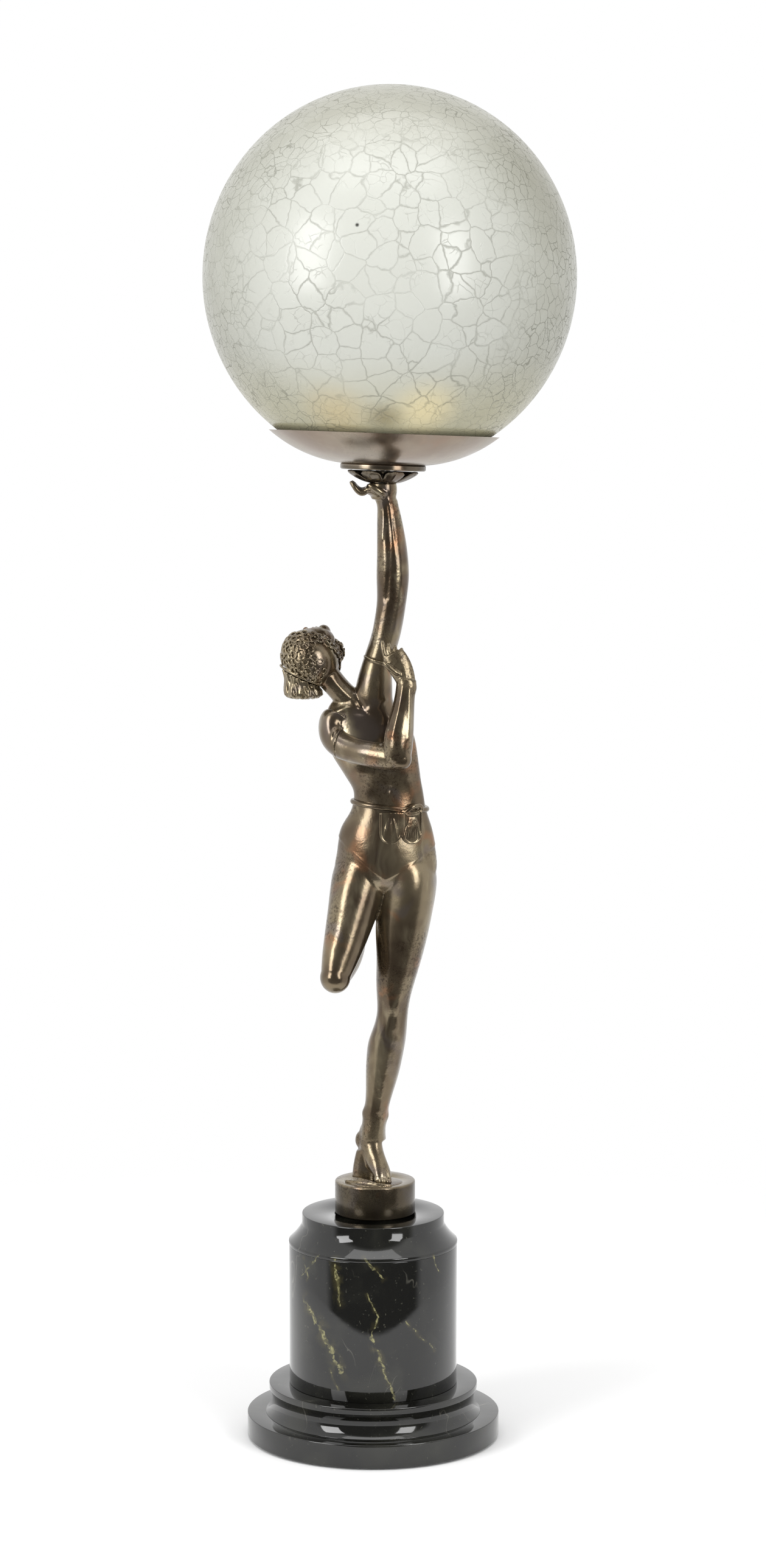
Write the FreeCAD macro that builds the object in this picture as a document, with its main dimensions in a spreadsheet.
# Figural table lamp: a bronze dancer on tiptoe on a stepped marble plinth, holding up a
# bronze dish with a crackled glass globe. Millimetres, +Z up, the viewer on the -Y side.
# The origin is the centre of the base's underside.
import FreeCAD, Part
import Sketcher
import math
import os
import re

V = FreeCAD.Vector
os.makedirs("parts", exist_ok=True)
doc = FreeCAD.newDocument("figural_lamp")

# ---------------------------------------------------------------- driving sizes
SIZES = [
    ("felt_radius", 82.0, "felt pad under the foot"),
    ("felt_thickness", 1.5, "felt pad"),
    ("foot_radius", 88.1, "lowest marble plate"),
    ("foot_thickness", 16.1, "lowest marble plate"),
    ("edge_ease", 0.8, "eased edges of the marble"),
    ("step_foot_radius", 75.4, "hollow moulding where it leaves the plate"),
    ("step_radius", 72.8, "upright band above the hollow moulding"),
    ("step_height", 21.1, "moulding and its band together"),
    ("step_band", 4.3, "upright band alone"),
    ("hollow_radius", 14.0, "arc of the hollow moulding"),
    ("drum_radius", 58.6, "marble drum"),
    ("drum_height", 98.8, "marble drum"),
    ("cap_foot_radius", 58.9, "marble cap where it meets the drum"),
    ("cap_band", 2.5, "upright band at the foot of the cap"),
    ("cap_radius", 49.5, "upright rim of the cap"),
    ("cap_rim", 7.5, "height of the cap's rim"),
    ("cap_height", 22.0, "marble cap"),
    ("cap_hollow_radius", 37.0, "arc of the cap's flare"),
    ("marble_bore", 7.0, "radius of the bore down the marble"),
    ("recess_radius", 21.0, "recess in the foot for the nut and washer"),
    ("recess_depth", 10.0, "recess in the foot"),
    ("tube_radius", 5.0, "threaded tie tube"),
    ("tube_bore", 3.5, "bore radius of the tie tube and the nipple"),
    ("tube_tail", 2.0, "tie tube below its nut"),
    ("washer_radius", 15.0, "base washer"),
    ("washer_thickness", 2.0, "base washer"),
    ("nut_corner", 9.8, "corner radius of the base nut"),
    ("nut_thickness", 4.0, "base nut"),
    ("bush_radius", 3.5, "cord bush where it enters the marble"),
    ("bush_flange", 5.5, "cord bush flange"),
    ("bush_flange_thickness", 1.6, "cord bush flange"),
    ("bush_bore", 2.4, "cord bush bore radius"),
    ("bush_length", 14.0, "cord bush inside the marble"),
    ("bush_height", 9.0, "cord bush axis above the table"),
    ("cord_way_run", 5.0, "cord hole in the marble drilled on past both ends"),
    ("disc_shift", 1.4, "bronze disc off the marble's axis"),
    ("disc_radius", 27.9, "bronze disc"),
    ("disc_height", 23.0, "bronze disc"),
    ("disc_tap", 12.0, "depth of the tie tube's thread in the disc"),
    ("screw_radius", 2.5, "screw that holds the figure down"),
    ("screw_head", 4.5, "head of that screw"),
    ("screw_head_height", 3.0, "head of that screw"),
    ("screw_grip", 12.0, "length of that screw in the figure"),
    ("figure_height", 485.3, "figure from its sole to the palm that holds the cup"),
    ("passage_radius", 3.4, "passage for the lead through the castings"),
    ("lead_radius", 2.2, "lead from the tie tube to the lampholder"),
    ("belt_radius", 2.8, "rounded cord of the belt"),
    ("tab_thickness", 3.2, "hanging tabs of the belt"),
    ("gallery_lean", 3.7, "lean of the gallery from upright, degrees"),
    ("lean_bearing", 57.0, "direction of the lean, degrees from +X towards +Y"),
    ("cup_height", 8.5, "leaf cup between palm and plate"),
    ("cup_foot_radius", 10.0, "leaf cup at the palm"),
    ("cup_radius", 25.7, "leaf cup at the plate"),
    ("cup_wall", 2.4, "wall of the leaf cup"),
    ("petal_gap", 1.1, "half width of a notch between two leaves"),
    ("petal_root", 6.5, "width of the ring, outside the cup's foot, that joins the leaves"),
    ("cup_gap", 0.2, "gap between the leaf cup and the hand round it"),
    ("plate_radius", 29.2, "round plate under the dish"),
    ("plate_thickness", 4.0, "round plate"),
    ("dish_radius", 78.6, "rim of the dish"),
    ("dish_height", 20.9, "dish from its floor's underside to its rim"),
    ("dish_curve", 92.6, "arc of the dish's side"),
    ("dish_wall", 1.3, "wall of the dish"),
    ("globe_radius", 127.0, "glass globe, half its width"),
    ("globe_half_height", 129.2, "glass globe, half its height"),
    ("globe_wall", 3.0, "wall of the glass globe"),
    ("mouth_radius", 48.0, "opening at the globe's foot"),
    ("seat_thickness", 1.0, "cork ring under the globe"),
    ("seat_width", 8.0, "cork ring, from its inner to its outer edge"),
    ("seat_rest", 0.2, "gap between the cork ring and the dish"),
    ("seat_gap", 0.3, "gap between the globe and its cork ring"),
    ("rim_clearance", 1.5, "least height of the globe over the dish's rim"),
    ("nipple_tail", 14.0, "nipple below the plate"),
    ("nipple_short", 1.0, "end of the nipple below the top of the boss it screws into"),
    ("gallery_nut_corner", 8.1, "corner radius of the nut in the dish"),
    ("gallery_nut_thickness", 4.0, "nut in the dish"),
    ("holder_radius", 19.3, "lampholder sleeve"),
    ("holder_wall", 0.8, "lampholder sleeve and its cap"),
    ("holder_cap_height", 13.0, "domed lower cap of the lampholder"),
    ("holder_boss_radius", 7.5, "boss inside the lower cap"),
    ("holder_boss_height", 7.0, "boss inside the lower cap"),
    ("holder_flare", 3.0, "flat foot of the lower cap round its boss"),
    ("holder_sleeve_height", 36.0, "lampholder sleeve"),
    ("sleeve_lap", 3.0, "lap of the sleeve over the lower cap"),
    ("lip_width", 3.6, "inward lip at the top of the sleeve"),
    ("insulator_height", 10.0, "porcelain block"),
    ("insulator_taper", 2.0, "tapered foot of the porcelain block"),
    ("insulator_gap", 1.5, "gap between the porcelain block and the lower cap"),
    ("liner_gap", 0.4, "gap between the screw shell and the liner round it"),
    ("liner_fit", 0.2, "gap between the liner and the sleeve round it"),
    ("thread_radius", 13.4, "screw shell, inside"),
    ("thread_wall", 0.5, "screw shell wall"),
    ("thread_height", 26.0, "screw shell"),
    ("tongue_radius", 4.0, "centre contact"),
    ("tongue_height", 4.0, "centre contact"),
    ("tongue_gap", 2.0, "gap between the centre contact and the screw shell's floor"),
    ("contact_taper", 1.0, "taper of the two centre contacts"),
    ("terminal_radius", 1.8, "terminal screws"),
    ("terminal_length", 5.0, "terminal screws"),
    ("terminal_spread", 11.0, "terminal screws off the axis"),
    ("terminal_sink", 2.0, "terminal screws inside the porcelain block"),
    ("thread_fit", 0.08, "running clearance of the lamp cap in the screw shell"),
    ("lamp_cap_height", 23.0, "metal cap of the light bulb"),
    ("lamp_cap_wall", 0.6, "metal cap of the light bulb"),
    ("lamp_cap_taper", 4.0, "tapered foot of the light bulb's cap"),
    ("lamp_cap_fill", 1.0, "floor of the light bulb's cap over its taper"),
    ("glass_lap", 4.0, "glass of the light bulb down inside its cap"),
    ("lamp_tip_radius", 4.5, "centre contact of the light bulb"),
    ("lamp_tip_height", 2.4, "centre contact of the light bulb"),
    ("bulb_radius", 27.5, "glass of the light bulb"),
    ("bulb_length", 105.0, "light bulb from tip to crown"),
    ("bulb_neck", 12.6, "glass neck in the cap"),
    ("bulb_neck_height", 6.0, "straight neck above the cap"),
    ("bulb_wall", 0.8, "glass of the light bulb"),
    ("stem_radius", 2.6, "glass stem in the bulb"),
    ("stem_height", 26.0, "glass stem in the bulb"),
    ("stem_flare", 4.0, "flared foot of the glass stem"),
    ("lead_short", 0.5, "end of the lead below the porcelain block"),
    ("filament_radius", 9.0, "filament ring"),
    ("filament_wire", 0.4, "filament and its two leads"),
    ("filament_rise", 16.0, "filament above the stem"),
]

# The palm under the cup, as the figure's forms further down are drawn: from here they are
# scaled to figure_height.
PALM = (5.5, 0.0, 485.3)

# Places worked out from the driving sizes. The gallery's own heights run along its leaning
# axis, from the underside of the round plate.
PLACES = [
    ("foot_top", "felt_thickness + foot_thickness"),
    ("step_top", "foot_top + step_height"),
    ("drum_top", "step_top + drum_height"),
    ("cap_top", "drum_top + cap_height"),
    ("disc_top", "cap_top + disc_height"),
    ("recess_top", "felt_thickness + recess_depth"),
    ("tube_foot", "recess_top - washer_thickness - nut_thickness - tube_tail"),
    ("tube_top", "cap_top + disc_tap"),
    ("figure_scale", "figure_height / %g" % PALM[2]),
    ("dish_chord", "sqrt((dish_radius - plate_radius)^2 + dish_height^2)"),
    ("dish_sag_side", "sqrt(dish_curve^2 - dish_chord^2 / 4)"),
    ("curve_out", "(plate_radius + dish_radius) / 2 - dish_sag_side * dish_height / dish_chord"),
    ("curve_up", "dish_height / 2 + dish_sag_side * (dish_radius - plate_radius) / dish_chord"),
    ("floor_radius", "curve_out + sqrt((dish_curve - dish_wall)^2 - (curve_up - dish_wall)^2)"),
    ("seat_in", "mouth_radius - seat_width / 2"),
    ("seat_out", "mouth_radius + seat_width / 2"),
    ("seat_under", "dish_curve - dish_wall - seat_rest"),
    ("rim_rise", "globe_half_height * (sqrt(1 - mouth_radius^2 / globe_radius^2)"
                 " - sqrt(1 - dish_radius^2 / globe_radius^2))"),
    ("least_foot", "plate_thickness + dish_height + rim_clearance - rim_rise"),
    ("seat_over", "min(seat_under - seat_thickness; sqrt((mouth_radius - curve_out)^2"
                  " + (plate_thickness + curve_up + seat_gap - least_foot)^2))"),
    ("globe_foot", "plate_thickness + curve_up + seat_gap"
                   " - sqrt(seat_over^2 - (mouth_radius - curve_out)^2)"),
    ("globe_drop", "globe_half_height * sqrt(1 - mouth_radius^2 / globe_radius^2)"),
    ("globe_centre", "globe_foot + globe_drop"),
    ("dish_floor", "plate_thickness + dish_wall"),
    ("holder_foot", "dish_floor + gallery_nut_thickness"),
    ("insulator_foot", "holder_foot + holder_boss_height"),
    ("insulator_top", "insulator_foot + insulator_height"),
    ("lamp_foot", "insulator_top + tongue_height"),
    ("lamp_cap_foot", "lamp_foot + lamp_tip_height"),
    ("lamp_cap_top", "lamp_cap_foot + lamp_cap_height"),
    ("glass_foot", "lamp_cap_top - glass_lap"),
    ("bulb_centre", "lamp_foot + bulb_length - bulb_radius"),
    ("insulator_radius", "holder_radius - 2 * holder_wall - insulator_gap"),
    ("liner_radius", "thread_radius + thread_wall + liner_gap"),
    ("liner_height", "holder_cap_height + holder_sleeve_height - sleeve_lap - holder_wall"
                     " - holder_boss_height - insulator_height"),
    ("cap_outside", "thread_radius - thread_fit"),
    ("nipple_length", "nipple_tail + holder_foot + holder_boss_height - nipple_short"),
]

sheet = doc.addObject("Spreadsheet::Sheet", "Sizes")
for row, (alias, value, note) in enumerate(SIZES, start=1):
    sheet.set("A%d" % row, note)
    sheet.set("B%d" % row, str(value))
    sheet.setAlias("B%d" % row, alias)
for row, (alias, formula) in enumerate(PLACES, start=len(SIZES) + 2):
    sheet.set("B%d" % row, "=" + formula)
    sheet.setAlias("B%d" % row, alias)
doc.recompute()
ALIASES = {entry[0] for entry in SIZES + PLACES}


def bound(text):
    """The expression with each name from the sheet written as a reference to its cell."""
    def cell(word):
        return "Sizes." + word.group() if word.group() in ALIASES else word.group()
    return re.sub(r"[a-z_]+", cell, text)


def number(text):
    """The value that the sheet gives for an expression now."""
    return float(sheet.evalExpression(bound(text)))


LEAN_AXIS = V(-math.sin(math.radians(number("lean_bearing"))),
              math.cos(math.radians(number("lean_bearing"))), 0)


# ---------------------------------------------------------------- helpers for turned pieces
def stand(thing, x="0", y="0", z="0"):
    """Place a piece upright."""
    for axis, text in zip("xyz", (x, y, z)):
        thing.setExpression("Placement.Base." + axis, bound(text))
    return thing


def on_gallery(thing, along="0"):
    """Place a piece on the leaning axis of the gallery, at a height along that axis."""
    thing.Placement = FreeCAD.Placement(V(), FreeCAD.Rotation(LEAN_AXIS, 1.0))
    thing.setExpression("Placement.Rotation.Angle", bound("gallery_lean"))
    reach = "(%s) * sin(gallery_lean)" % along
    return stand(thing,
                 "disc_shift + %g * figure_scale + %s * cos(lean_bearing)" % (PALM[0], reach),
                 "%s * sin(lean_bearing)" % reach,
                 "disc_top + figure_height + cup_height + (%s) * cos(gallery_lean)" % along)


def plane(body, role):
    return [part for part in body.Origin.OriginFeatures if part.Role == role][0]


def arc_between(start, end, radius, side):
    """An arc from start to end; side +1 puts its centre to the left of the way, -1 right."""
    chord = math.dist(start, end)
    apart = math.sqrt(max(radius ** 2 - chord ** 2 / 4, 0.0))
    left = (-(end[1] - start[1]) / chord, (end[0] - start[0]) / chord)
    centre = [(start[k] + end[k]) / 2 + side * apart * left[k] for k in (0, 1)]
    first, last = (start, end) if side > 0 else (end, start)
    turn = [math.atan2(p[1] - centre[1], p[0] - centre[0]) for p in (first, last)]
    circle = Part.Circle(V(centre[0], centre[1], 0), V(0, 0, 1), radius)
    return Part.ArcOfCircle(circle, turn[0], turn[1])


def turned(label, outline):
    """A body of revolution about its own Z. The outline runs round the section: each entry
    is (radius, height), and two more values bend the side that follows: its radius and
    +1 or -1 for a centre to the left or right of the way."""
    body = doc.addObject("PartDesign::Body", label)
    body.Label = label
    sketch = body.newObject("Sketcher::SketchObject", label + "_outline")
    sketch.AttachmentSupport = [(plane(body, "XZ_Plane"), "")]
    sketch.MapMode = "FlatFace"
    spots = [(number(entry[0]), number(entry[1])) for entry in outline]
    count = len(outline)
    starts = []
    for k, entry in enumerate(outline):
        start, end = spots[k], spots[(k + 1) % count]
        if len(entry) > 2:
            sketch.addGeometry(arc_between(start, end, number(entry[2]), entry[3]), False)
            starts.append((1, 2) if entry[3] > 0 else (2, 1))
        else:
            sketch.addGeometry(Part.LineSegment(V(*start, 0), V(*end, 0)), False)
            starts.append((1, 2))
    for k in range(count):
        after = (k + 1) % count
        sketch.addConstraint(Sketcher.Constraint("Coincident", k, starts[k][1],
                                                 after, starts[after][0]))
    for k, entry in enumerate(outline):
        corner = (k, starts[k][0])
        for kind, text, value, own_axis in (("DistanceX", entry[0], spots[k][0], -2),
                                            ("DistanceY", entry[1], spots[k][1], -1)):
            if text == "0":
                sketch.addConstraint(Sketcher.Constraint("PointOnObject", *corner, own_axis))
            else:
                index = sketch.addConstraint(Sketcher.Constraint(kind, -1, 1, *corner, value))
                sketch.setExpression("Constraints[%d]" % index, bound(text))
        if len(entry) > 2:
            index = sketch.addConstraint(Sketcher.Constraint("Radius", k, number(entry[2])))
            sketch.setExpression("Constraints[%d]" % index, bound(entry[2]))
    spin = body.newObject("PartDesign::Revolution", label + "_turning")
    spin.Profile = sketch
    spin.ReferenceAxis = (sketch, ["V_Axis"])
    spin.Angle = 360
    return body


def drill(body, label, radius, depth, x="0", y="0", z="0", way=V(0, 0, 1)):
    """A straight hole in a body, from a point of its own frame and along a direction."""
    hole = body.newObject("PartDesign::SubtractiveCylinder", label)
    hole.setExpression("Radius", bound(radius))
    hole.setExpression("Height", bound(depth))
    hole.Placement = FreeCAD.Placement(V(), FreeCAD.Rotation(V(0, 0, 1), way))
    return stand(hole, x, y, z)


def primitive(kind, label, sizes):
    thing = doc.addObject("Part::" + kind, label)
    thing.Label = label
    for name, text in sizes.items():
        thing.setExpression(name, bound(text))
    return thing


def cut(label, base, tool):
    thing = doc.addObject("Part::Cut", label)
    thing.Label = label
    thing.Base = base
    thing.Tool = tool
    return thing


def joined(label, shapes):
    thing = doc.addObject("Part::MultiFuse", label)
    thing.Label = label
    thing.Shapes = shapes
    return thing


def nut(label, corner, thickness):
    """A hexagon nut on the tie tube's thread, standing on its own origin."""
    block = primitive("Prism", label + "_block", {"Circumradius": corner, "Height": thickness})
    block.Polygon = 6
    bore = primitive("Cylinder", label + "_bore", {"Radius": "tube_radius", "Height": thickness})
    return cut(label, block, bore)



# ---------------------------------------------------------------- marble plinth
felt_pad = turned("felt_pad", [
    ("0", "0"), ("felt_radius", "0"), ("felt_radius", "felt_thickness"),
    ("0", "felt_thickness")])

marble_foot = stand(turned("marble_foot", [
    ("recess_radius", "0"), ("foot_radius - edge_ease", "0"),
    ("foot_radius", "edge_ease"), ("foot_radius", "foot_thickness - edge_ease"),
    ("foot_radius - edge_ease", "foot_thickness"), ("marble_bore", "foot_thickness"),
    ("marble_bore", "recess_depth"), ("recess_radius", "recess_depth")]), z="felt_thickness")
drill(marble_foot, "cord_way", "bush_radius", "foot_radius - recess_radius + 2 * cord_way_run",
      y="recess_radius - cord_way_run", z="bush_height - felt_thickness", way=V(0, 1, 0))

marble_step = stand(turned("marble_step", [
    ("marble_bore", "0"), ("step_foot_radius", "0", "hollow_radius", -1),
    ("step_radius", "step_height - step_band"), ("step_radius", "step_height"),
    ("marble_bore", "step_height")]), z="foot_top")

marble_drum = stand(turned("marble_drum", [
    ("marble_bore", "0"), ("drum_radius - edge_ease / 2", "0"),
    ("drum_radius", "edge_ease / 2"), ("drum_radius", "drum_height - edge_ease / 2"),
    ("drum_radius - edge_ease / 2", "drum_height"), ("marble_bore", "drum_height")]),
    z="step_top")

marble_cap = stand(turned("marble_cap", [
    ("marble_bore", "0"), ("cap_foot_radius", "0"),
    ("cap_foot_radius", "cap_band", "cap_hollow_radius", -1),
    ("cap_radius", "cap_height - cap_rim"), ("cap_radius", "cap_height"),
    ("marble_bore", "cap_height")]), z="drum_top")

# ---------------------------------------------------------------- what ties the plinth
tie_tube = stand(turned("tie_tube", [
    ("tube_bore", "0"), ("tube_radius", "0"), ("tube_radius", "tube_top - tube_foot"),
    ("tube_bore", "tube_top - tube_foot")]), x="disc_shift", z="tube_foot")

base_washer = stand(turned("base_washer", [
    ("tube_radius", "0"), ("washer_radius", "0"), ("washer_radius", "washer_thickness"),
    ("tube_radius", "washer_thickness")]), x="disc_shift", z="recess_top - washer_thickness")

base_nut = stand(nut("base_nut", "nut_corner", "nut_thickness"),
                 x="disc_shift", z="recess_top - washer_thickness - nut_thickness")

cord_bush = turned("cord_bush", [
    ("bush_bore", "0"), ("bush_radius", "0"), ("bush_radius", "bush_length"),
    ("bush_flange", "bush_length"), ("bush_flange", "bush_length + bush_flange_thickness"),
    ("bush_bore", "bush_length + bush_flange_thickness")])
cord_bush.Placement = FreeCAD.Placement(V(), FreeCAD.Rotation(V(0, 0, 1), V(0, 1, 0)))
stand(cord_bush, y="foot_radius - bush_length", z="bush_height")

bronze_disc = stand(turned("bronze_disc", [
    ("tube_radius", "0"), ("disc_radius", "0"), ("disc_radius", "disc_height"),
    ("passage_radius", "disc_height"), ("passage_radius", "disc_tap"),
    ("tube_radius", "disc_tap")]), x="disc_shift", z="cap_top")

# ---------------------------------------------------------------- the cast figure
# The figure's own frame: origin at the centre of the disc's top, as drawn with its palm at
# PALM. Each form is a row of ovals (x, y, z, half width, half depth).
GROW = number("figure_scale")
OVAL_POINTS = 8


def oval(spot, way, wide, deep, across):
    """A closed oval across a limb, its width as near as it can be to a given direction."""
    way = V(way).normalize()
    across = (across - way * across.dot(way)).normalize()
    along = way.cross(across)
    points = []
    for k in range(OVAL_POINTS):
        turn = 2 * math.pi * k / OVAL_POINTS
        points.append((spot + across * (wide * math.cos(turn))
                       + along * (deep * math.sin(turn))) * GROW)
    curve = Part.BSplineCurve()
    curve.interpolate(Points=points, PeriodicFlag=True)
    return Part.Wire(curve.toShape())


def form(rows, level=False, across=V(1, 0, 0)):
    """A smooth solid through ovals that lie level or square to the limb's own way."""
    spots = [V(*row[:3]) for row in rows]
    wires = []
    for k, row in enumerate(rows):
        way = spots[min(k + 1, len(rows) - 1)] - spots[max(k - 1, 0)]
        wires.append(oval(spots[k], V(0, 0, 1) if level else way, row[3], row[4], across))
    return Part.makeLoft(wires, True, False)


def ball(x, y, z, radius):
    return Part.makeSphere(radius * GROW, V(x, y, z) * GROW)


def egg(x, y, z, across, deep, high, tilt=0.0):
    """An ellipsoid, tilted about the line of sight."""
    lump = Part.makeSphere(1.0)
    stretch = FreeCAD.Matrix()
    stretch.scale(across * GROW, deep * GROW, high * GROW)
    lump = lump.transformGeometry(stretch)
    lump.rotate(V(), V(0, 1, 0), tilt)
    lump.translate(V(x, y, z) * GROW)
    return lump


def digit(knuckle, joint, tip, thick):
    """A finger or a thumb: three spots and the radius at its root."""
    return form([(*knuckle, thick, thick), (*joint, thick * 0.95, thick * 0.9),
                 (*[(a + 2 * b) / 3 for a, b in zip(joint, tip)], thick * 0.8, thick * 0.75),
                 (*tip, thick * 0.4, thick * 0.4)], across=V(0, 1, 0))


def casting(label, shape):
    """A form of the figure as an object, standing on the disc."""
    thing = doc.addObject("Part::Feature", label)
    thing.Label = label
    thing.Shape = shape
    return stand(thing, "disc_shift", "0", "disc_top")


def fused(first, others):
    """One solid, the lumps joined one after another."""
    solid = first
    for other in others:
        solid = solid.fuse(other)
    return solid.Solids[0] if len(solid.Solids) == 1 else solid


FOOT_ACROSS = V(0.74, 0.67, 0)    # the standing foot points to the viewer's right

leg_form = fused(form([
    (-1.4, 6.5, 27, 9.0, 10.6), (-1.0, 6.0, 37, 8.4, 10.4), (0.7, 5.6, 47.5, 8.3, 9.6),
    (2.9, 5.6, 60, 9.4, 10.6), (5.0, 6.0, 74, 11.4, 12.9), (6.6, 6.0, 86, 12.5, 14.2),
    (8.3, 5.2, 97, 12.8, 14.2), (10.8, 3.2, 109, 11.4, 12.8), (12.2, 1.6, 119.5, 10.8, 12.2),
    (13.0, 0.4, 130, 11.8, 12.8), (14.3, 0.0, 141, 13.5, 14.4), (16.9, 0.6, 158, 15.9, 17.2),
    (19.0, 1.4, 178, 18.6, 19.6), (21.6, 2.0, 196, 19.4, 21.0), (22.6, 2.4, 213, 19.8, 21.6),
    (20.0, 2.0, 226, 17.0, 19.0)], level=True), [
    form([(-2.0, 8.0, 37, 7.4, 7.0), (-3.2, 5.0, 27, 7.2, 9.4), (-1.2, 0.4, 18, 6.8, 8.2),
          (2.6, -5.2, 10.4, 6.9, 6.4), (5.2, -9.4, 5.8, 7.0, 4.6), (6.8, -12.0, 3.4, 6.2, 3.0)],
         across=FOOT_ACROSS),
    egg(-7.6, 9.6, 26, 6.4, 6.4, 7.4),
    form([(-5.4, 4.6, 0, 10.8, 7.0), (-5.2, 4.4, 8, 10.2, 6.6), (-4.4, 4.6, 20, 8.6, 6.4)],
         level=True)]
    + [egg(9.6 - 2.9 * k, -15.4 - 0.5 * k + 0.45 * k * k, 2.4, 1.7, 3.2, 2.3)
       for k in range(5)])

torso_form = fused(form([
    (7.6, 2.0, 203, 17, 11), (7.2, 2.4, 209, 29, 18), (7.1, 3.0, 218, 35.0, 22.0),
    (7.8, 3.0, 229, 34.2, 22.6), (7.7, 2.2, 239.5, 32.8, 21.0), (8.0, 1.2, 249.5, 30.2, 18.8),
    (9.4, 0.4, 259.5, 25.8, 16.6), (9.6, 0.0, 267.5, 24.2, 15.6),
    (9.0, 0.0, 273.5, 23.9, 15.6), (6.6, -0.4, 280.5, 25.0, 16.4),
    (3.2, -0.8, 289.5, 27.2, 18.2), (-0.4, -1.2, 299.5, 29.4, 18.8),
    (-2.8, -0.8, 309.5, 30.0, 17.8), (-5.6, -0.2, 319.5, 28.6, 15.4),
    (-9.4, 0.6, 328.5, 24.0, 12.4), (-12.6, 1.2, 336.5, 15.5, 9.6),
    (-14.0, 1.6, 342.0, 9.0, 7.4)], level=True),
    [egg(-12.0, -13.6, 303, 10.4, 8.6, 9.6), egg(9.6, -13.4, 302, 10.4, 8.4, 9.4)])

thigh_form = fused(form([
    (-7.0, 4.0, 224, 17.0, 19.5), (-10.4, 1.6, 211, 19.4, 20.4), (-14.4, -4.4, 195, 17.8, 18.6),
    (-19.4, -11.6, 176, 15.2, 15.8), (-23.8, -18.0, 160, 12.6, 13.2),
    (-26.8, -22.4, 149.5, 10.4, 10.8)]), [egg(-27.2, -23.4, 147.2, 10.5, 10.8, 10.8)])

shin_form = fused(form([
    (-27.2, -21.0, 146.8, 9.4, 9.6), (-24.6, -9.0, 150.0, 10.6, 10.6),
    (-21.2, 7.0, 156.0, 11.8, 12.2), (-17.4, 24.0, 163.0, 10.8, 11.2),
    (-13.4, 42.0, 171.0, 8.0, 8.8), (-10.4, 57.0, 177.5, 6.4, 7.2),
    (-9.2, 66.0, 181.5, 6.6, 7.6)]), [
    form([(-9.2, 63.0, 179.0, 6.2, 7.4), (-8.0, 74.0, 185.0, 6.6, 8.0),
          (-6.8, 85.0, 192.0, 6.8, 6.4), (-6.0, 94.0, 197.6, 6.6, 4.2),
          (-5.6, 99.5, 200.6, 5.6, 2.4)]),
    egg(-9.6, 66.6, 188.6, 5.6, 6.8, 5.6)])

head_form = fused(form([
    (-10.0, 1.0, 329, 10.6, 9.4), (-17.4, 0.8, 336, 9.0, 8.8), (-24.0, 0.2, 343, 8.4, 8.4),
    (-30.4, 0.0, 350.5, 8.6, 8.8), (-36.0, 0.8, 357.5, 9.4, 9.6)]), [
    egg(-44.0, 4.0, 364.0, 19.0, 20.6, 21.4, -34),
    egg(-30.6, 10.4, 368.0, 8.8, 8.8, 9.0),
    egg(-50.0, 2.0, 347.0, 14.6, 15.2, 10.4, 22)])

raised_arm_form = fused(form([
    (2.0, 0.4, 318, 17.0, 14.0), (0.4, 0.4, 330, 14.8, 13.2), (-0.8, 0.2, 342.5, 12.8, 12.4),
    (0.2, 0.0, 353.5, 11.5, 11.6), (1.8, -0.2, 362.5, 10.4, 11.0),
    (4.4, -0.6, 371.0, 10.2, 10.8), (7.2, -1.2, 380.0, 10.0, 10.6),
    (9.6, -1.6, 391.0, 9.9, 10.4), (11.5, -2.0, 405.0, 10.1, 10.2),
    (12.2, -2.0, 420.5, 11.0, 10.4), (12.0, -1.6, 434.5, 10.4, 10.6),
    (10.9, -1.0, 449.5, 9.3, 9.4), (9.5, -0.4, 464.5, 7.9, 7.4),
    (7.7, 0.0, 473.5, 7.7, 6.8)], level=True), [
    form([(8.8, 0.0, 470.0, 6.6, 6.6), (5.8, -0.4, 477.4, 8.2, 5.6),
          (-0.4, -0.6, 480.4, 9.4, 4.6), (-6.0, -0.4, 481.2, 8.8, 3.0)], across=V(0, 1, 0)),
    form([(6.0, 0.0, 474.0, 8.0, 7.0), (5.5, 0.0, 480.0, 9.6, 8.6),
          (*PALM, 9.0, 8.4)], level=True)]
    + [digit((-4.6, 6.6 - 4.4 * k, 481.0), (-11.8, 7.0 - 4.7 * k, 480.6 - 0.5 * (k == 3)),
             (-17.2 + 0.8 * abs(k - 1.4), 6.4 - 4.5 * k, 486.0), 2.2) for k in range(4)]
    + [digit((6.6, -7.4, 477.0), (1.6, -10.8, 481.0), (-4.4, -10.6, 484.6), 2.3)])

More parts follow.
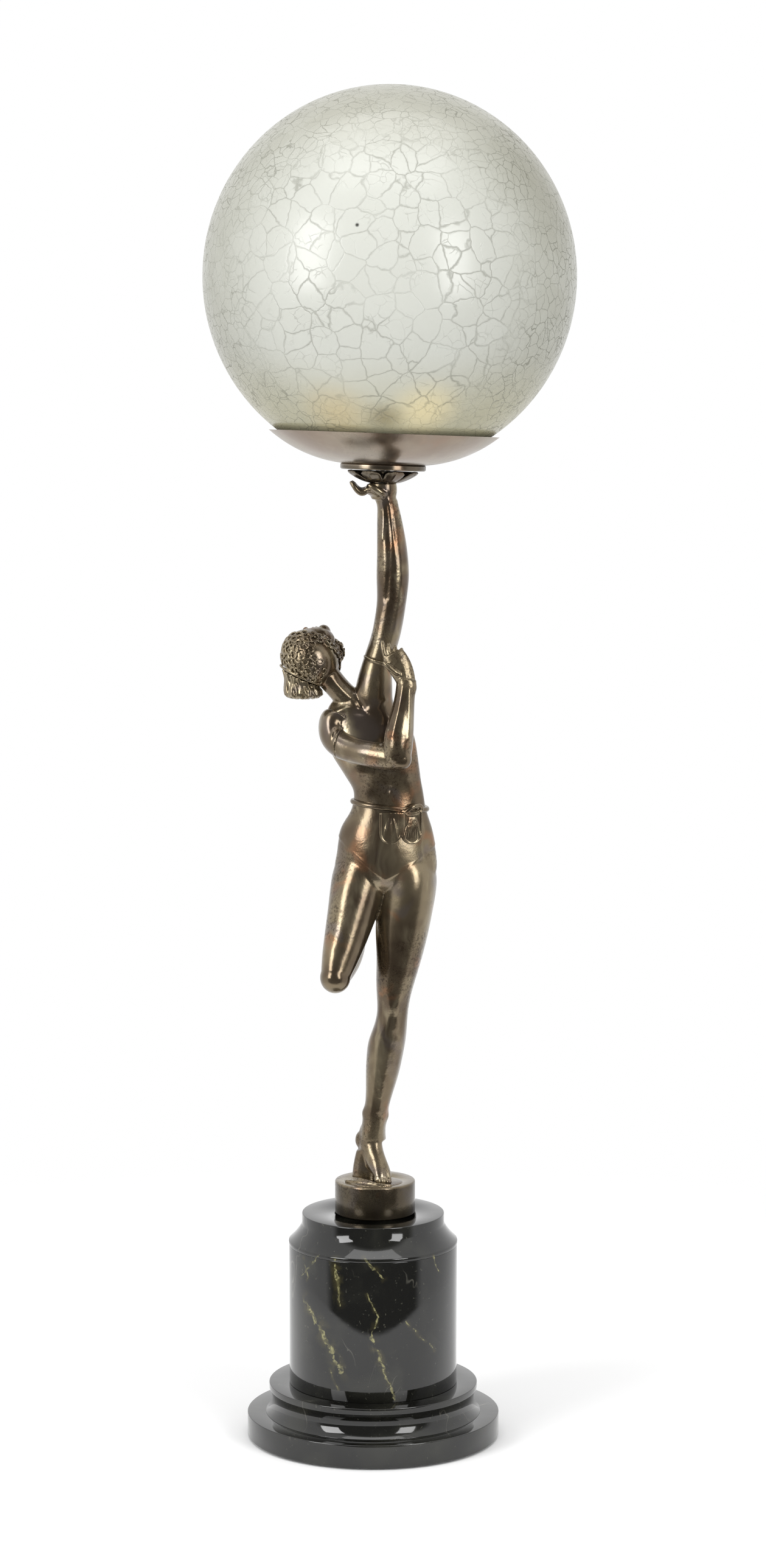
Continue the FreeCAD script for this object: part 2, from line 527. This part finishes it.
bent_arm_form = fused(form([
    (-25.0, 0.0, 322, 14.0, 12.6), (-29.4, -3.4, 316.4, 12.4, 11.4),
    (-24.6, -10.0, 308.4, 11.0, 9.8), (-15.6, -18.2, 304.4, 9.8, 9.0),
    (-4.6, -26.2, 302.6, 9.2, 8.8), (6.0, -32.6, 301.6, 8.8, 8.8),
    (14.6, -37.4, 301.4, 8.2, 8.8)], across=V(0, 1, 0)), [
    egg(16.4, -38.0, 301.6, 8.4, 8.6, 8.8),
    form([(15.0, -38.0, 299.5, 8.6, 8.4), (15.6, -37.6, 309.0, 10.0, 9.6),
          (16.8, -36.0, 319.5, 9.6, 9.2), (19.0, -33.4, 333.0, 7.8, 7.6),
          (20.6, -31.0, 345.0, 6.7, 6.0), (21.4, -29.6, 353.6, 6.6, 5.2)]),
    form([(21.6, -29.6, 350.0, 6.2, 4.8), (18.8, -28.4, 358.6, 7.6, 4.2),
          (14.4, -27.4, 366.6, 8.2, 3.4), (11.8, -27.0, 371.4, 7.2, 2.6)])]
    + [digit((7.4 + 3.1 * k, -27.0, 368.4 - 1.1 * k), (5.7 + 3.9 * k, -26.1, 374.2 - 1.3 * k),
             (4.9 + 4.5 * k, -24.8, 380.0 - 1.7 * k), 1.9) for k in range(4)]
    + [digit((17.6, -31.0, 357.0), (10.2, -32.4, 362.0), (5.6, -31.6, 366.0), 2.1)])

# The belt is a rounded cord about the waist, lower on the viewer's right, with a knot, a
# loop and two rimmed tabs that hang from it.
BELT_SPOT = V(10.2, 0.1, 263.6)
BELT_SLOPE = 6.0


def belt_cord():
    """A rounded slab across the waist; trimmed to the torso it leaves the cord."""
    high = number("belt_radius") / GROW
    slab = form([(0, 0, high * step, 26.4 - bulge * high, 18.2 - bulge * high)
                 for step, bulge in ((-1, 0.7), (-0.75, 0.3), (0, 0), (0.75, 0.3), (1, 0.7))],
                level=True)
    slab.rotate(V(), V(0, 1, 0), BELT_SLOPE)
    slab.translate(BELT_SPOT * GROW)
    return slab


def belt_tab(x, y, swing, wide, long):
    """A tab with a round end, hung from its top edge's middle and set square to the hip."""
    thick = number("tab_thickness")
    half = wide / 2 * GROW
    drop = long * GROW - half
    left = Part.makeLine(V(-half, 0, 0), V(-half, 0, -drop))
    round_end = Part.Arc(V(-half, 0, -drop), V(0, 0, -drop - half), V(half, 0, -drop)).toShape()
    right = Part.makeLine(V(half, 0, -drop), V(half, 0, 0))
    top = Part.makeLine(V(half, 0, 0), V(-half, 0, 0))
    tab = Part.Face(Part.Wire([left, round_end, right, top])).extrude(V(0, -thick, 0))
    tab.rotate(V(), V(0, 0, 1), swing)
    tab.translate(V(x, y, 261.0) * GROW)
    return tab


belt_form = fused(belt_cord(), [
    belt_tab(10.6, -17.0, 6, 15.4, 22.0), belt_tab(25.4, -14.2, 22, 13.6, 22.5),
    ball(20.8, -16.2, 260.8, 4.6), egg(29.8, -11.8, 263.2, 6.0, 3.8, 3.5, 24)])

# The passage for the lead and the lead itself follow one route through the castings.
ROUTE = [(0.0, 0.0, 0.0), (0.4, 3.4, 28.0), (1.8, 5.8, 50.0), (7.0, 5.0, 90.0),
         (12.0, 1.4, 122.0), (16.6, 0.8, 160.0), (17.0, 1.0, 200.0), (10.6, 1.0, 240.0),
         (7.0, 0.0, 275.0), (1.6, 0.0, 312.0), (0.4, 0.0, 343.0), (4.2, -0.6, 371.0),
         (11.4, -2.0, 412.0), (11.4, -1.4, 442.0), (7.4, -0.2, 472.0), PALM]
SCREW_SPOT = V(-9.6, 7.2, 0)
FIGURE_STAND = V(number("disc_shift"), 0, number("disc_top"))


def rod(start, end, radius):
    return Part.makeCylinder(radius, (end - start).Length, start, end - start)


def passage():
    """Straight drillings that meet in round corners, open at both ends."""
    radius = number("passage_radius")
    spots = [V(*spot) * GROW for spot in ROUTE]
    tail = [spots[0] - V(0, 0, 1)] + spots + [spots[-1] + V(0, 0, 1)]
    pieces = [rod(a, b, radius) for a, b in zip(tail, tail[1:])]
    pieces += [Part.makeSphere(radius, spot) for spot in spots]
    return pieces[0].multiFuse(pieces[1:])


def gallery_way():
    """The direction of the gallery's leaning axis."""
    lean = math.radians(number("gallery_lean"))
    bearing = math.radians(number("lean_bearing"))
    return V(math.sin(lean) * math.cos(bearing), math.sin(lean) * math.sin(bearing),
             math.cos(lean))


def gallery_point(along):
    """A point on the gallery's leaning axis, in the lamp's frame."""
    foot = V(*PALM) * GROW + V(0, 0, number("cup_height"))
    return FIGURE_STAND + foot + gallery_way() * along


def nipple_hole():
    """The tapped hole in the palm for the gallery's nipple."""
    return rod(gallery_point(-number("nipple_tail")) - FIGURE_STAND,
               gallery_point(0) - FIGURE_STAND, number("tube_radius"))


def cup_seat():
    """The space that the leaf cup takes above the palm, a hair larger all round."""
    up = gallery_way()
    foot = gallery_point(-number("cup_height")) - FIGURE_STAND
    low = number("cup_foot_radius + cup_gap")
    high = number("cup_radius + cup_gap")
    return Part.makeCone(low, high, number("cup_height"), foot - up * number("cup_gap / 10"), up)


def screw_hole():
    return rod(SCREW_SPOT * GROW - V(0, 0, 1),
               SCREW_SPOT * GROW + V(0, 0, number("screw_grip")), number("screw_radius"))


def trimmed(form_shape, tools):
    """A form less others, worked on copies so that no shared edge is altered."""
    solid = form_shape.copy()
    for tool in tools:
        solid = solid.cut(tool.copy())
    return solid


# Each casting is trimmed to the one that carries it, so that they meet face to face.
lead_way = passage()
figure_torso = casting("figure_torso", trimmed(torso_form, [lead_way]))
figure_standing_leg = casting("figure_standing_leg", trimmed(
    leg_form, [torso_form, lead_way, screw_hole()]))
figure_bent_thigh = casting("figure_bent_thigh", trimmed(thigh_form, [torso_form, leg_form]))
figure_bent_shin = casting("figure_bent_shin", trimmed(shin_form, [thigh_form]))
figure_raised_arm = casting("figure_raised_arm", trimmed(
    raised_arm_form, [torso_form, lead_way, nipple_hole(), cup_seat()]))
figure_bent_arm = casting("figure_bent_arm", trimmed(
    bent_arm_form, [torso_form, raised_arm_form]))
figure_head = casting("figure_head", trimmed(
    head_form, [torso_form, raised_arm_form, bent_arm_form, lead_way]))
figure_belt = casting("figure_belt", trimmed(belt_form, [torso_form]))

figure_screw = turned("figure_screw", [
    ("0", "0"), ("screw_head", "0"), ("screw_head", "screw_head_height"),
    ("screw_radius", "screw_head_height"), ("screw_radius", "disc_height + screw_grip"),
    ("0", "disc_height + screw_grip")])
stand(figure_screw, "disc_shift + %g * figure_scale" % SCREW_SPOT.x,
      "%g * figure_scale" % SCREW_SPOT.y, "cap_top")
drill(bronze_disc, "screw_clearance", "screw_radius", "disc_height",
      "%g * figure_scale" % SCREW_SPOT.x, "%g * figure_scale" % SCREW_SPOT.y)
drill(bronze_disc, "screw_counterbore", "screw_head", "screw_head_height",
      "%g * figure_scale" % SCREW_SPOT.x, "%g * figure_scale" % SCREW_SPOT.y)

# ---------------------------------------------------------------- gallery
leaf_cup = turned("leaf_cup_blank", [
    ("tube_radius", "0"), ("cup_foot_radius", "0"), ("cup_radius", "cup_height"),
    ("cup_radius - cup_wall", "cup_height"), ("cup_foot_radius", "cup_wall"),
    ("cup_foot_radius", "cup_height"), ("tube_radius", "cup_height")])
PETALS = 8
notches = []
for k in range(PETALS):
    notch = primitive("Box", "cup_notch_%d" % k, {
        "Length": "cup_radius", "Width": "2 * petal_gap", "Height": "cup_height + 2"})
    turn = FreeCAD.Rotation(V(0, 0, 1), 360.0 * (k + 0.5) / PETALS)
    reach = turn.multVec(V(number("cup_foot_radius + petal_root"), -number("petal_gap"), -1))
    notch.Placement = FreeCAD.Placement(reach, turn)
    notches.append(notch)
leaf_cup = on_gallery(cut("leaf_cup", leaf_cup, joined("cup_notches", notches)), "-cup_height")

gallery_plate = on_gallery(turned("gallery_plate", [
    ("tube_radius", "0"), ("plate_radius - edge_ease", "0"), ("plate_radius", "edge_ease"),
    ("plate_radius", "plate_thickness - edge_ease"),
    ("plate_radius - edge_ease", "plate_thickness"), ("tube_radius", "plate_thickness")]))

dish = on_gallery(turned("dish", [
    ("tube_radius", "0"), ("plate_radius", "0", "dish_curve", 1),
    ("dish_radius", "dish_height"),
    ("curve_out + sqrt((dish_curve - dish_wall)^2 - (curve_up - dish_height)^2)",
     "dish_height", "dish_curve - dish_wall", -1),
    ("floor_radius", "dish_wall"), ("tube_radius", "dish_wall")]), "plate_thickness")

globe_seat = on_gallery(turned("globe_seat", [
    ("seat_in", "curve_up - sqrt(seat_under^2 - (seat_in - curve_out)^2)", "seat_under", 1),
    ("seat_out", "curve_up - sqrt(seat_under^2 - (seat_out - curve_out)^2)"),
    ("seat_out", "curve_up - sqrt(seat_over^2 - (seat_out - curve_out)^2)", "seat_over", -1),
    ("seat_in", "curve_up - sqrt(seat_over^2 - (seat_in - curve_out)^2)")]),
    "plate_thickness")



def globe_form(label, walls):
    """The globe's round form, less so many walls."""
    form = primitive("Ellipsoid", label, {
        "Radius1": "globe_half_height - %d * globe_wall" % walls,
        "Radius2": "globe_radius - %d * globe_wall" % walls,
        "Radius3": "globe_radius - %d * globe_wall" % walls})
    form.Angle1 = -90
    form.Angle2 = 90
    form.Angle3 = 360
    return form


def globe_slab(label, radius, height, foot):
    """A round block that takes off a part of the globe, about its own axis."""
    return stand(primitive("Cylinder", label, {"Radius": radius, "Height": height}), z=foot)


# The globe is blown in one. It is kept as a dome and a bowl that meet at its widest ring.
glass_globe = on_gallery(cut("glass_globe", globe_form("dome_outside", 0), joined(
    "dome_hollow", [globe_form("dome_inside", 1),
                    globe_slab("dome_cut", "2 * globe_radius", "2 * globe_half_height",
                               "-2 * globe_half_height")])), "globe_centre")
glass_globe_bowl = on_gallery(cut("glass_globe_bowl", globe_form("bowl_outside", 0), joined(
    "bowl_hollow", [globe_form("bowl_inside", 1),
                    globe_slab("globe_foot_cut", "globe_radius",
                               "globe_half_height - globe_drop", "-globe_half_height"),
                    globe_slab("bowl_cut", "2 * globe_radius", "2 * globe_half_height", "0")])),
    "globe_centre")

gallery_nipple = on_gallery(turned("gallery_nipple", [
    ("tube_bore", "0"), ("tube_radius", "0"),
    ("tube_radius", "nipple_length"), ("tube_bore", "nipple_length")]), "-nipple_tail")

gallery_nut = on_gallery(nut("gallery_nut", "gallery_nut_corner", "gallery_nut_thickness"),
                         "dish_floor")

# ---------------------------------------------------------------- lampholder
holder_cap = on_gallery(turned("holder_cap", [
    ("tube_radius", "0"), ("holder_boss_radius + holder_flare", "0"),
    ("holder_radius - holder_wall", "holder_boss_height"),
    ("holder_radius - holder_wall", "holder_cap_height"),
    ("holder_radius - 2 * holder_wall", "holder_cap_height"),
    ("holder_radius - 2 * holder_wall", "holder_boss_height + holder_wall"),
    ("holder_boss_radius + holder_flare - holder_wall", "holder_wall"),
    ("holder_boss_radius", "holder_wall"),
    ("holder_boss_radius", "holder_boss_height"), ("tube_radius", "holder_boss_height")]),
    "holder_foot")

holder_sleeve = on_gallery(turned("holder_sleeve", [
    ("holder_radius - holder_wall", "0"), ("holder_radius", "0"),
    ("holder_radius", "holder_sleeve_height"),
    ("holder_radius - lip_width", "holder_sleeve_height"),
    ("holder_radius - lip_width", "holder_sleeve_height - holder_wall"),
    ("holder_radius - holder_wall", "holder_sleeve_height - holder_wall")]),
    "holder_foot + holder_cap_height - sleeve_lap")

holder_insulator = on_gallery(turned("holder_insulator", [
    ("tube_bore", "0"), ("holder_boss_radius + insulator_gap", "0"),
    ("insulator_radius", "insulator_taper"), ("insulator_radius", "insulator_height"),
    ("tube_bore", "insulator_height")]), "insulator_foot")

for side in (-1, 1):
    drill(holder_insulator, "terminal_hole_%s" % ("left" if side < 0 else "right"),
          "terminal_radius", "2 * terminal_sink", x="%d * terminal_spread" % side,
          z="-terminal_sink")

screw_shell = on_gallery(turned("screw_shell", [
    ("tongue_radius + tongue_gap", "0"), ("thread_radius + thread_wall", "0"),
    ("thread_radius + thread_wall", "thread_height"), ("thread_radius", "thread_height"),
    ("thread_radius", "thread_wall"), ("tongue_radius + tongue_gap", "thread_wall")]),
    "insulator_top")

centre_contact = on_gallery(turned("centre_contact", [
    ("0", "0"), ("tongue_radius", "0"), ("tongue_radius - contact_taper", "tongue_height"),
    ("0", "tongue_height")]), "insulator_top")

holder_liner = on_gallery(turned("holder_liner", [
    ("liner_radius", "0"), ("holder_radius - holder_wall - liner_fit", "0"),
    ("holder_radius - holder_wall - liner_fit", "liner_height"),
    ("liner_radius", "liner_height")]), "insulator_top")

# ---------------------------------------------------------------- light bulb
bulb_tip = on_gallery(turned("bulb_tip", [
    ("0", "0"), ("lamp_tip_radius - contact_taper", "0"),
    ("lamp_tip_radius", "lamp_tip_height"),
    ("0", "lamp_tip_height")]), "lamp_foot")

bulb_cap = on_gallery(turned("bulb_cap", [
    ("0", "0"), ("cap_outside - lamp_cap_taper", "0"), ("cap_outside", "lamp_cap_taper"),
    ("cap_outside", "lamp_cap_height"), ("cap_outside - lamp_cap_wall", "lamp_cap_height"),
    ("cap_outside - lamp_cap_wall", "lamp_cap_taper + lamp_cap_fill"),
    ("0", "lamp_cap_taper + lamp_cap_fill")]), "lamp_cap_foot")

BULB_TANGENT = 30.0    # degrees below the bulb's widest ring where its neck runs into it
bulb_glass = on_gallery(turned("bulb_glass", [
    ("bulb_neck - bulb_wall", "0"), ("bulb_neck", "0"),
    ("bulb_neck", "bulb_neck_height"),
    ("bulb_radius * cos(%g)" % BULB_TANGENT,
     "bulb_centre - glass_foot - bulb_radius * sin(%g)" % BULB_TANGENT,
     "bulb_radius", 1),
    ("0", "bulb_centre - glass_foot + bulb_radius"),
    ("0", "bulb_centre - glass_foot + bulb_radius - bulb_wall",
     "bulb_radius - bulb_wall", -1),
    ("(bulb_radius - bulb_wall) * cos(%g)" % BULB_TANGENT,
     "bulb_centre - glass_foot - (bulb_radius - bulb_wall) * sin(%g)" % BULB_TANGENT),
    ("bulb_neck - bulb_wall", "bulb_neck_height + bulb_wall / 2")]), "glass_foot")

bulb_stem = on_gallery(turned("bulb_stem", [
    ("0", "0"), ("bulb_neck - bulb_wall", "0"), ("bulb_neck - bulb_wall", "stem_flare / 4"),
    ("stem_radius + stem_flare / 4", "stem_flare"), ("stem_radius", "stem_height"),
    ("0", "stem_height")]), "glass_foot")

# The filament is a ring with a lead on either side that ends in the stem.
filament_ring = stand(primitive("Torus", "filament_ring", {
    "Radius1": "filament_radius", "Radius2": "filament_wire"}), z="filament_rise")
filament_leads = []
for side in (-1, 1):
    lead = primitive("Cylinder", "filament_lead_%s" % ("left" if side < 0 else "right"), {
        "Radius": "filament_wire",
        "Height": "sqrt(filament_rise^2 + (filament_radius - stem_radius / 2)^2)"})
    splay = FreeCAD.Rotation(V(0, 0, 1), V(
        side * (number("filament_radius") - number("stem_radius") / 2), 0,
        number("filament_rise")))
    lead.Placement = FreeCAD.Placement(V(side * number("stem_radius") / 2, 0, 0), splay)
    filament_leads.append(lead)
stem_top = stand(primitive("Cylinder", "stem_top", {
    "Radius": "stem_radius", "Height": "filament_wire * 4"}), z="-filament_wire * 4")
bulb_filament = on_gallery(
    cut("bulb_filament", joined("filament_wires", [filament_ring] + filament_leads), stem_top),
    "glass_foot + stem_height")

# ---------------------------------------------------------------- terminals and lead
terminals = []
for side in (-1, 1):
    terminal = primitive("Cylinder", "terminal_%s" % ("left" if side < 0 else "right"), {
        "Radius": "terminal_radius", "Height": "terminal_length"})
    stand(terminal, x="%d * terminal_spread" % side)
    terminals.append(terminal)
terminal_screws = doc.addObject("Part::Compound", "terminal_screws")
terminal_screws.Label = "terminal_screws"
terminal_screws.Links = terminals
on_gallery(terminal_screws, "insulator_foot - terminal_length + terminal_sink")


def lead_spots():
    """The lead's corners: up the tie tube, through the figure, out of the nipple."""
    spots = [V(number("disc_shift"), 0, number("tube_foot"))]
    spots += [FIGURE_STAND + V(*spot) * GROW for spot in ROUTE[:-1]]
    spots.append(gallery_point(-number("cup_height")))
    spots.append(gallery_point(number("insulator_foot - lead_short")))
    return spots


def rounded_path(spots):
    """Straight runs joined by tangent arcs as wide as the runs allow."""
    edges = []
    start = spots[0]
    for before, corner, after in zip(spots, spots[1:], spots[2:]):
        come = (corner - before).normalize()
        leave = (after - corner).normalize()
        turn = come.getAngle(leave)
        trim = 0.45 * min((corner - before).Length, (after - corner).Length)
        first = corner - come * trim
        last = corner + leave * trim
        bend = trim / math.tan(turn / 2)
        middle = corner + (leave - come).normalize() * (bend / math.cos(turn / 2) - bend)
        print("lead bend radius %.0f mm" % bend)
        edges.append(Part.LineSegment(start, first).toShape())
        edges.append(Part.Arc(first, middle, last).toShape())
        start = last
    edges.append(Part.LineSegment(start, spots[-1]).toShape())
    return Part.Wire(edges)


def lead_shape():
    path = rounded_path(lead_spots())
    way = path.Edges[0].tangentAt(path.Edges[0].FirstParameter)
    start = path.Edges[0].valueAt(path.Edges[0].FirstParameter)
    section = Part.Wire(Part.makeCircle(number("lead_radius"), start, way))
    tube = path.makePipeShell([section], True, True)
    expected = math.pi * number("lead_radius") ** 2 * path.Length
    print("lead volume %.1f, section times length %.1f" % (tube.Volume, expected))
    return tube


inner_lead = doc.addObject("Part::Feature", "inner_lead")
inner_lead.Label = "inner_lead"
inner_lead.Shape = lead_shape()

# ---------------------------------------------------------------- check and export
PIECES = [
    felt_pad, marble_foot, marble_step, marble_drum, marble_cap, tie_tube, base_washer,
    base_nut, cord_bush, bronze_disc, figure_screw, figure_standing_leg, figure_bent_thigh,
    figure_bent_shin, figure_torso, figure_belt, figure_bent_arm, figure_raised_arm,
    figure_head, inner_lead, leaf_cup, gallery_plate, dish, globe_seat, glass_globe,
    glass_globe_bowl,
    gallery_nipple, gallery_nut, holder_cap, holder_sleeve, holder_insulator, holder_liner,
    screw_shell, centre_contact, terminal_screws, bulb_tip, bulb_cap, bulb_glass, bulb_stem,
    bulb_filament]

doc.recompute()
faults = [thing.Label for thing in doc.Objects
          if "Invalid" in thing.State or "Error" in thing.State]
faults += [piece.Label for piece in PIECES
           if piece.Shape.isNull() or not piece.Shape.isValid() or not piece.Shape.Solids]
if faults:
    raise SystemExit("faulty: " + ", ".join(faults))
for piece in PIECES:
    print("%-22s %2d solid(s) %12.1f mm3" % (piece.Label, len(piece.Shape.Solids),
                                            piece.Shape.Volume))
    piece.Shape.exportStep("parts/%s.step" % piece.Label)
